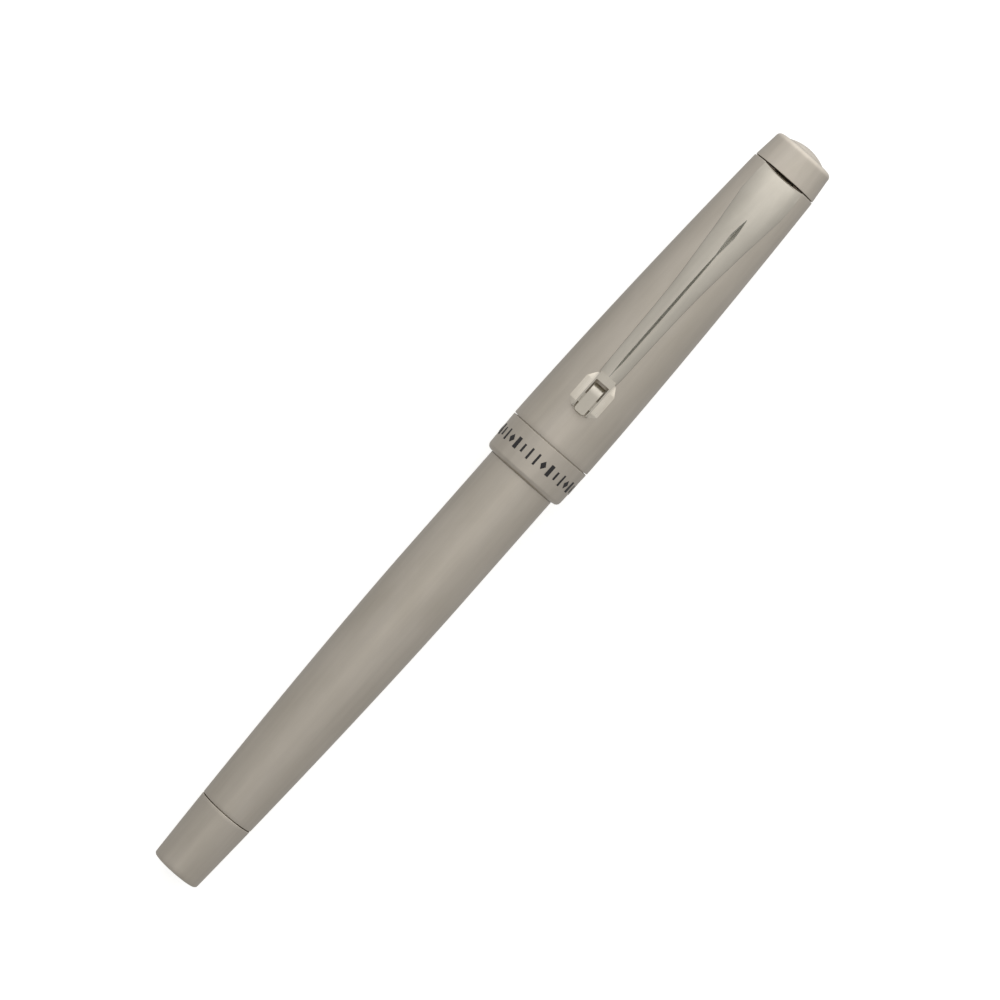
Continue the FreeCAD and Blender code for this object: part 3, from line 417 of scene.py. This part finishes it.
# the slot that the clip's tongue goes down through
slotTurn = math.radians(cap["slotTurn"])
missing = []
for face in bm.faces:
    spot = face.calc_center_median()
    if spot.x > cap["slotStart"] and abs(math.atan2(spot.y, spot.z)) < slotTurn:
        missing.append(face)
bmesh.ops.delete(bm, geom=missing, context="FACES")
rim = [edge for edge in bm.edges if len(edge.link_faces) == 1]
near = 0.01


def onBack(vert):
    return abs(vert.co.x - cap["slotStart"]) < near


def onWall(vert, side):
    return abs(math.atan2(vert.co.y, vert.co.z) - side * slotTurn) < near


# three faces close it: one wall each side and the back between them
corners = []
for side in (-1, 1):
    ends = [vert for vert in {v for edge in rim for v in edge.verts} if onBack(vert) and onWall(vert, side)]
    corners.append(bm.edges.new(ends))
for side, corner in zip((-1, 1), corners):
    wall = [edge for edge in rim if all(onWall(vert, side) for vert in edge.verts)]
    bmesh.ops.contextual_create(bm, geom=wall + [corner])
back = [edge for edge in rim if all(onBack(vert) for vert in edge.verts)]
bmesh.ops.contextual_create(bm, geom=back + corners)
bmesh.ops.recalc_face_normals(bm, faces=bm.faces)
bmesh.ops.triangulate(bm, faces=[face for face in bm.faces if len(face.verts) > 4])
capTube = finishPiece(bm, "capTube", "cap", satinPlate, "cap_tube")
# painted shade: faces sunk into the hollow beside the crown take the dull brown material
capTube.data.materials.append(paintedShadePlate)
toPen = penPlace.inverted()
for face in capTube.data.polygons:
    spot = toPen @ face.center
    sunk = capOutside(spot.x) - math.hypot(spot.y, spot.z)
    inHollow = cap["hollowStart"] < spot.x < pen["crownSeam"] - near
    if inHollow and 0.1 < sunk < cap["hollowDepth"] + 0.1:
        face.material_index = 1

band = {"lipRadius": 6.76, "topRadius": 6.92, "bore": 5.85, "lipEdge": 0.8, "edge": 0.08,
        "seatStart": 79.05, "seat": 6.42}
bandEnd = pen["bandTop"] - pen["seamGap"]
outline = [(pen["capLip"], band["bore"], 0.08), (pen["capLip"], band["lipRadius"], band["lipEdge"]),
           (bandEnd, band["topRadius"], band["edge"]), (bandEnd, band["seat"]),
           (band["seatStart"], band["seat"]), (band["seatStart"], band["bore"])]
finishPiece(spinOutline(outline), "capBand", "cap", satinPlate, "cap_band")

crown = {"start": 134.45, "seat": 5.41, "waist": 138.05, "waistRadius": 5.02,
         "rim": 139.05, "rimRadius": 4.96, "rimEdge": 0.75, "face": 139.25,
         "well": 3.1, "wellFloor": 137.95, "screwHole": 1.47, "screwEnd": 137.05}
outline = [(crown["screwEnd"], 0), (crown["screwEnd"], crown["screwHole"]),
           (crown["start"], crown["screwHole"]),
           (crown["start"], crown["seat"], 0.1), (crown["waist"], crown["waistRadius"]),
           (crown["rim"], crown["rimRadius"], crown["rimEdge"]), (crown["face"], crown["well"], 0.05),
           (crown["wellFloor"], crown["well"]), (crown["wellFloor"], 0)]
finishPiece(spinOutline(outline), "crown", "cap", satinPlate, "crown")

inlay = {"floor": 137.97, "radius": 3.08, "edge": 139.29, "steps": 8}
height = pen["length"] - inlay["edge"]
ball = (height ** 2 + inlay["radius"] ** 2) / (2 * height)
widest = math.asin(inlay["radius"] / ball)
outline = [(inlay["floor"], 0), (inlay["floor"], inlay["radius"])]
for i in range(inlay["steps"] + 1):
    tilt = widest * (1 - i / inlay["steps"])
    outline.append((pen["length"] - ball * (1 - math.cos(tilt)), ball * math.sin(tilt)))
finishPiece(spinOutline(outline), "crownInlay", "cap", satinPlate, "crown_dome")

ring = {"start": 79.05, "end": 80.35, "radius": 5.45, "bore": 4.46, "edge": 0.3}
outline = [(ring["start"], ring["bore"], 0.05), (ring["start"], ring["radius"], ring["edge"]),
           (ring["end"], ring["radius"], ring["edge"]), (ring["end"], ring["bore"], 0.05)]
finishPiece(spinOutline(outline), "trimRing", "trim_ring", brightPlate, "trim_ring")

grip = {"grooves": 5, "step": 1.6, "last": 2.5, "half": 0.3, "deep": 0.16,
        "seat": 3.92, "seatEnd": 88.1, "bore": 3.3, "socket": 3.52, "socketStart": 97.9}
outline = [(pen["gripStart"], grip["seat"]), (pen["gripStart"], pen["gripRadius"], 0.2)]
begin = pen["gripStart"] + 0.6
for i in range(grip["grooves"]):
    at = pen["gripEnd"] - grip["last"] - grip["step"] * (grip["grooves"] - 1 - i)
    outline += run(gripOutside, begin, at - grip["half"] - 0.1, 12 if i == 0 else 2)
    outline += [(at - grip["half"], gripOutside(at), 0.06), (at, gripOutside(at) - grip["deep"], 0.08),
                (at + grip["half"], gripOutside(at), 0.06)]
    begin = at + grip["half"] + 0.1
outline += run(gripOutside, begin, pen["gripEnd"] - 0.1, 4)
outline += [(pen["gripEnd"], pen["gripFront"] - 0.02), (pen["gripEnd"], grip["socket"]),
            (grip["socketStart"], grip["socket"]), (grip["socketStart"], grip["bore"]),
            (grip["seatEnd"], grip["bore"]), (grip["seatEnd"], grip["seat"])]
finishPiece(spinOutline(outline), "gripSection", "section", blackResin, "grip_section")

nose = {"spigotStart": 97.9, "spigot": 3.5, "back": 105.92, "tipBore": 1.35, "tipBoreStart": 118.2,
        "coneStart": 115.8, "cone": 2.55, "shoulder": 109.47}
outline = [(nose["spigotStart"], pen["refillBore"]), (nose["spigotStart"], nose["spigot"], 0.1),
           (nose["back"], nose["spigot"]), (nose["back"], pen["gripFront"] - 0.1, 0.06)]
outline += run(noseOutside, pen["gripEnd"] + 0.3, pen["noseEnd"] - 0.3, 20)
outline += [(pen["noseEnd"], pen["noseRadius"] + 0.02, 0.15), (pen["noseEnd"], nose["tipBore"], 0.05),
            (nose["tipBoreStart"], nose["tipBore"]), (nose["coneStart"], nose["cone"]),
            (nose["shoulder"], nose["cone"]), (nose["shoulder"], pen["refillBore"])]
finishPiece(spinOutline(outline), "noseCone", "section", brightPlate, "nose_cone")

# ---- the clip, its bar and the spring: their CAD surfaces joined up and shaded smooth


def joinedCopy(node):
    bm = bmesh.new()
    bm.from_mesh(frame["nodes"][node].data)
    bmesh.ops.remove_doubles(bm, verts=bm.verts, dist=0.003 * mm)
    bmesh.ops.dissolve_degenerate(bm, edges=bm.edges, dist=0.002 * mm)
    return bm


asDrawn = Matrix.Identity(4)     # these meshes already lie in the frame
clip = finishPiece(joinedCopy("clip"), "clip", "clip", clipPlate, "clip", 25, asDrawn)
clip.data.materials.append(glossyHighlightPlate)
clip.data.materials.append(mattPaintedLightPlate)
plate = {"start": 89.4, "end": 96.0, "stripHalf": 1.4, "creaseHalf": 0.46, "overCap": 1.0}
for face in clip.data.polygons:
    spot = toPen @ face.center
    rising = (toPen.to_3x3() @ face.normal).normalized().z
    onPlate = plate["start"] < spot.x < plate["end"]
    onArm = spot.x > plate["end"] and spot.z > capOutside(spot.x) + plate["overCap"]
    # painted highlight: the sloped faces of the plate's wings take the bright material
    if onPlate and abs(spot.y) > plate["stripHalf"] and 0.5 < rising < 0.99:
        face.material_index = 1
    # painted light: the sloped walls of the crease along the arm take the lighter material
    elif onArm and abs(spot.y) < plate["creaseHalf"] and 0.02 < rising < 0.9:
        face.material_index = 2
finishPiece(joinedCopy("clip_bar"), "clipBar", "clip", clipPlate, "clip_bar", 25, asDrawn)

# the spring, copied and given a mesh of its own; in the pen it shortens as the refill backs off, its tail end
# standing on the floor of the pocket, but nothing here moves it
piece = finishPiece(joinedCopy("refill_spring"), "refillSpring", "barrel", drawnSteel,
                    "refill_spring", 40, asDrawn)
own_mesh(piece)

# ---- printed frieze round the band: plain bars and lozenges in place of lettering

frieze = {"middle": 80.2, "tall": 1.9, "short": 0.72, "thin": 0.34, "thick": 0.62, "lozenge": 0.95,
          "lozengeStretch": 1.5, "marks": 33, "proud": 0.03}
along = (frieze["middle"] - pen["capLip"]) / (bandEnd - pen["capLip"])
bandRadius = band["lipRadius"] + (band["topRadius"] - band["lipRadius"]) * along
bm = bmesh.new()
for i in range(frieze["marks"]):
    turn = 2 * math.pi * i / frieze["marks"]
    kind = i % 4
    if kind == 1:
        made = bmesh.ops.create_circle(bm, cap_ends=True, segments=4, radius=0.5)["verts"]
        size = (frieze["lozenge"] * frieze["lozengeStretch"], frieze["lozenge"], 1)
    else:
        made = bmesh.ops.create_grid(bm, x_segments=1, y_segments=1, size=0.5)["verts"]
        tall = frieze["tall"] * (frieze["short"] if kind == 3 else 1.0)
        size = (tall, frieze["thick"] if kind == 2 else frieze["thin"], 1)
    bmesh.ops.scale(bm, verts=made, vec=size)
    face = made[0].link_faces[0]
    lifted = bmesh.ops.extrude_face_region(bm, geom=[face])["geom"]
    top = [v for v in lifted if isinstance(v, bmesh.types.BMVert)]
    bmesh.ops.translate(bm, verts=top, vec=(0, 0, 2 * frieze["proud"]))
    bmesh.ops.translate(bm, verts=made + top, vec=(frieze["middle"], 0, bandRadius - frieze["proud"]))
    bmesh.ops.rotate(bm, verts=made + top, cent=(0, 0, 0), matrix=Matrix.Rotation(turn, 3, "X"))
bmesh.ops.recalc_face_normals(bm, faces=bm.faces)
finishPiece(bm, "bandFrieze", "cap", printInk, None)

# ---- stage, light and camera

floorLook = {"colour": "#c4c3c1", "glowColour": "#fdfdfb", "size": 6.0, "glow": 0.72}
bm = bmesh.new()
bmesh.ops.create_grid(bm, x_segments=1, y_segments=1, size=floorLook["size"] / 2)
mesh = bpy.data.meshes.new("floor")
bm.to_mesh(mesh)
bm.free()
floor = bpy.data.objects.new("floor", mesh)
bpy.context.scene.collection.objects.link(floor)
material, tree = startMaterial("palePaper")
paper = addNode(tree, "ShaderNodeBsdfPrincipled",
                {"Base Color": paint(floorLook["colour"]), "Roughness": 0.9,
                 "Emission Color": paint(floorLook["glowColour"]), "Emission Strength": floorLook["glow"]})
addNode(tree, "ShaderNodeOutputMaterial", None, {"Surface": paper.outputs["BSDF"]})
mesh.materials.append(material)
floor.visible_glossy = False

# a soft room: brighter overhead and towards the crown's end of the table
room = {"level": 0.585, "slope": (1.05, 0.035, 0.235), "least": 0.51, "most": 2.0, "colour": "#f8f8fb"}
world = bpy.data.worlds.new("studio")
bpy.context.scene.world = world
world.use_nodes = True
tree = world.node_tree
tree.nodes.clear()
where = addNode(tree, "ShaderNodeTexCoord")
facing = addNode(tree, "ShaderNodeVectorMath", {"operation": "DOT_PRODUCT", 1: room["slope"]},
                 {0: where.outputs["Generated"]})
level = addNode(tree, "ShaderNodeMath", {"operation": "ADD", 1: room["level"]}, {0: facing.outputs["Value"]})
bounded = addNode(tree, "ShaderNodeClamp", {"Min": room["least"], "Max": room["most"]},
                  {"Value": level.outputs["Value"]})
air = addNode(tree, "ShaderNodeBackground", {"Color": paint(room["colour"])},
              {"Strength": bounded.outputs["Result"]})
addNode(tree, "ShaderNodeOutputWorld", None, {"Surface": air.outputs["Background"]})


def softbox(name, place, aim, size, watts, colour):
    light = bpy.data.lights.new(name, "AREA")
    light.shape = "RECTANGLE"
    light.size, light.size_y = size
    light.energy = watts
    light.color = paint(colour)[:3]
    lamp = bpy.data.objects.new(name, light)
    lamp.location = place
    lamp.rotation_euler = (Vector(aim) - Vector(place)).to_track_quat("-Z", "Y").to_euler()
    bpy.context.scene.collection.objects.link(lamp)


softbox("overhead", (-0.05, -0.05, 1.3), (0, 0, 0), (0.5, 0.5), 0.15, "#fffaf2")

view = {"above": 0.78, "lens": 193.0, "sensor": 36, "aim": (0.0021, 0.0001), "roll": -48.66}
middle = penPlace @ Vector((pen["length"] / 2, 0, 0))
camera = bpy.data.cameras.new("camera")
camera.lens = view["lens"]
camera.sensor_width = view["sensor"]
cameraObject = bpy.data.objects.new("camera", camera)
cameraObject.location = (middle.x + view["aim"][0], view["aim"][1], middle.z + view["above"])
cameraObject.rotation_euler = (0, 0, math.radians(view["roll"]))
bpy.context.scene.collection.objects.link(cameraObject)
bpy.context.scene.camera = cameraObject
bpy.context.scene.view_settings.view_transform = "Standard"
print("stage set")
